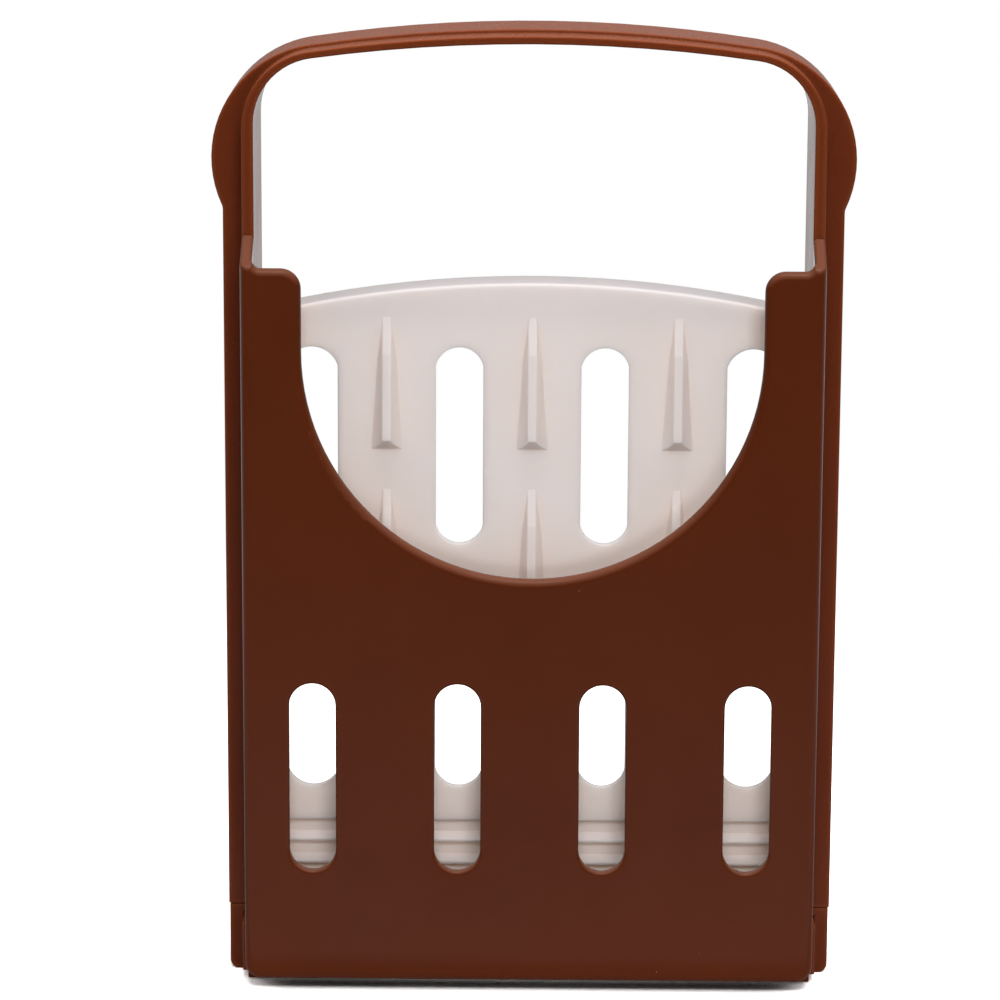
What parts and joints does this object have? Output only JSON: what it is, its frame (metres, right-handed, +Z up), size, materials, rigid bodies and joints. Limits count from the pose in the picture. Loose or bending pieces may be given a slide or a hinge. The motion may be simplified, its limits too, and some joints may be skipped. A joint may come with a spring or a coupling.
{
  "type": "bread slicer guide",
  "caption": "Folding guide for cutting a loaf into even slices: slotted stop plate, arched knife frame that slides, and a ribbed platform that folds down.",
  "frame": {"origin": "on the table, under the middle of the bounding box of the folded tool", "axes": "+X across the tool, +Y from the stop plate at the front to the back, +Z up"},
  "size_m": [0.158, 0.04, 0.24],
  "materials": {
    "brown_body": "chestnut brown moulded ABS, satin gloss",
    "brown_pin": "dark brown moulded acetal, matte",
    "cream_platform": "cream moulded ABS, satin"
  },
  "bodies": {
    "base": {"stop_plate": "brown_body", "foot_rail_left": "brown_body", "foot_rail_right": "brown_body", "hinge_pin_left": "brown_pin", "hinge_pin_right": "brown_pin"},
    "frame": {"guide_frame": "brown_body"},
    "platform": {"loaf_platform": "cream_platform"}
  },
  "joints": [
    {"name": "thickness_slide", "type": "slide", "parent": "base", "child": "frame", "axis": [0, 1, 0], "range_m": [0, 0.0174]},
    {"name": "platform_fold", "type": "hinge", "parent": "base", "child": "platform", "pos_m": [0, -0.0007, 0.0084], "axis": [-1, 0, 0], "range_deg": [0, 90]}
  ]
}
